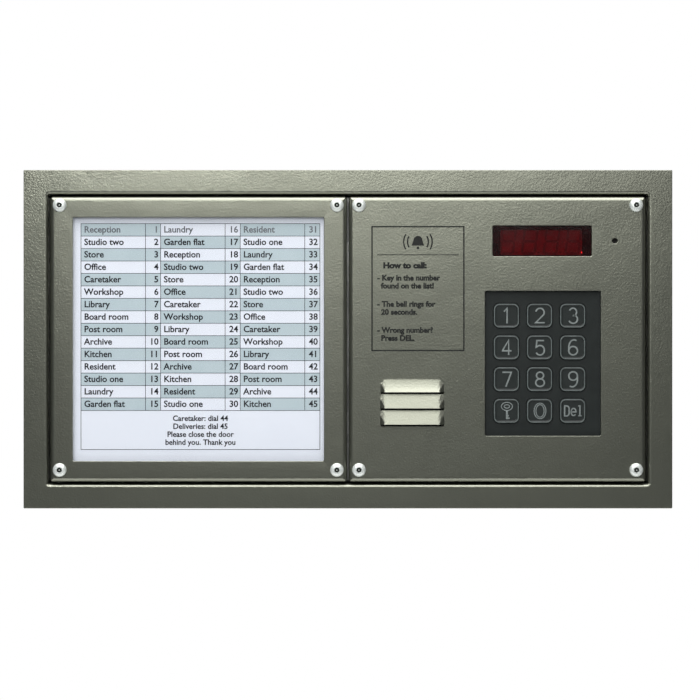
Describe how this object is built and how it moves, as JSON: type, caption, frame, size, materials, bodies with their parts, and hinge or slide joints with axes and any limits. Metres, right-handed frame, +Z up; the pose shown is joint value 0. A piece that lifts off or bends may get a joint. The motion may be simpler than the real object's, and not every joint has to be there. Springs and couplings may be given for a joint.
{
  "type": "door intercom panel",
  "caption": "Flush-mounted door entry panel with a framed directory window, a call plate with display, keypad and louvred speaker, and a steel back box.",
  "frame": {"origin": "centre of the back box's rear face", "axes": "+X to the viewer's right, +Y from the visitor into the wall, +Z up"},
  "size_m": [0.3738, 0.051, 0.195],
  "materials": {
    "hammered_paint": "grey-green hammer-effect paint, satin, orange-peel texture",
    "galvanised_steel": "dull galvanised sheet",
    "zinc_plate": "bright zinc plate",
    "brass": "drawn brass",
    "black_rubber": "matte moulded rubber",
    "grey_foam": "closed-cell foam",
    "black_cloth": "woven acoustic cloth",
    "clear_pane": "clear polycarbonate",
    "printed_paper": "matte printed sheet",
    "red_filter": "dark red transparent plastic",
    "display_housing": "black moulded plastic",
    "black_plastic": "charcoal moulded plastic, fine texture",
    "circuit_board": "green solder mask",
    "cone_paper": "treated paper",
    "ferrite_magnet": "sintered ferrite",
    "terminal_green": "moulded plastic",
    "relay_blue": "moulded plastic",
    "ribbon_grey": "flat ribbon cable"
  },
  "bodies": {
    "housing": {"trim_frame": "hammered_paint", "directory_plate": "hammered_paint", "call_plate": "hammered_paint", "back_box": "galvanised_steel", "left_rail": "galvanised_steel", "centre_rail": "galvanised_steel", "right_rail": "galvanised_steel", "backing_plate": "galvanised_steel", "speaker_basket": "galvanised_steel", "speaker_bracket": "galvanised_steel", "backing_nut_1": "zinc_plate", "backing_nut_2": "zinc_plate", "backing_nut_3": "zinc_plate", "backing_nut_4": "zinc_plate", "directory_screw_1": "zinc_plate", "directory_screw_2": "zinc_plate", "directory_screw_3": "zinc_plate", "directory_screw_4": "zinc_plate", "call_screw_1": "zinc_plate", "call_screw_2": "zinc_plate", "call_screw_3": "zinc_plate", "call_screw_4": "zinc_plate", "microphone": "zinc_plate", "board_standoff_1": "brass", "board_standoff_2": "brass", "board_standoff_3": "brass", "board_standoff_4": "brass", "cable_grommet": "black_rubber", "directory_gasket": "black_rubber", "keypad_mat": "black_rubber", "microphone_boot": "black_rubber", "keypad_seal": "grey_foam", "speaker_seal": "grey_foam", "speaker_cloth": "black_cloth", "directory_window": "clear_pane", "name_sheet": "printed_paper", "display_filter": "red_filter", "display_digits": "display_housing", "keypad_carrier": "black_plastic", "display_board": "circuit_board", "keypad_board": "circuit_board", "main_board": "circuit_board", "speaker_magnet": "ferrite_magnet", "terminal_block": "terminal_green", "door_relay": "relay_blue", "keypad_ribbon": "ribbon_grey", "display_ribbon": "ribbon_grey"},
    "key_1": {"key_1": "black_plastic"},
    "key_2": {"key_2": "black_plastic"},
    "key_3": {"key_3": "black_plastic"},
    "key_4": {"key_4": "black_plastic"},
    "key_5": {"key_5": "black_plastic"},
    "key_6": {"key_6": "black_plastic"},
    "key_7": {"key_7": "black_plastic"},
    "key_8": {"key_8": "black_plastic"},
    "key_9": {"key_9": "black_plastic"},
    "key_entry": {"key_entry": "black_plastic"},
    "key_0": {"key_0": "black_plastic"},
    "key_delete": {"key_delete": "black_plastic"},
    "speaker_cone": {"speaker_cone": "cone_paper"}
  },
  "joints": [
    {"name": "key_1_press", "type": "slide", "parent": "housing", "child": "key_1", "axis": [0, 1, 0], "range_m": [0, 0.0008], "stiffness_N_per_m": 1500},
    {"name": "key_2_press", "type": "slide", "parent": "housing", "child": "key_2", "axis": [0, 1, 0], "range_m": [0, 0.0008], "stiffness_N_per_m": 1500},
    {"name": "key_3_press", "type": "slide", "parent": "housing", "child": "key_3", "axis": [0, 1, 0], "range_m": [0, 0.0008], "stiffness_N_per_m": 1500},
    {"name": "key_4_press", "type": "slide", "parent": "housing", "child": "key_4", "axis": [0, 1, 0], "range_m": [0, 0.0008], "stiffness_N_per_m": 1500},
    {"name": "key_5_press", "type": "slide", "parent": "housing", "child": "key_5", "axis": [0, 1, 0], "range_m": [0, 0.0008], "stiffness_N_per_m": 1500},
    {"name": "key_6_press", "type": "slide", "parent": "housing", "child": "key_6", "axis": [0, 1, 0], "range_m": [0, 0.0008], "stiffness_N_per_m": 1500},
    {"name": "key_7_press", "type": "slide", "parent": "housing", "child": "key_7", "axis": [0, 1, 0], "range_m": [0, 0.0008], "stiffness_N_per_m": 1500},
    {"name": "key_8_press", "type": "slide", "parent": "housing", "child": "key_8", "axis": [0, 1, 0], "range_m": [0, 0.0008], "stiffness_N_per_m": 1500},
    {"name": "key_9_press", "type": "slide", "parent": "housing", "child": "key_9", "axis": [0, 1, 0], "range_m": [0, 0.0008], "stiffness_N_per_m": 1500},
    {"name": "key_entry_press", "type": "slide", "parent": "housing", "child": "key_entry", "axis": [0, 1, 0], "range_m": [0, 0.0008], "stiffness_N_per_m": 1500},
    {"name": "key_0_press", "type": "slide", "parent": "housing", "child": "key_0", "axis": [0, 1, 0], "range_m": [0, 0.0008], "stiffness_N_per_m": 1500},
    {"name": "key_delete_press", "type": "slide", "parent": "housing", "child": "key_delete", "axis": [0, 1, 0], "range_m": [0, 0.0008], "stiffness_N_per_m": 1500},
    {"name": "speaker_cone_stroke", "type": "slide", "parent": "housing", "child": "speaker_cone", "axis": [0, -1, 0], "range_m": [-0.0004, 0.0004], "stiffness_N_per_m": 1500}
  ]
}
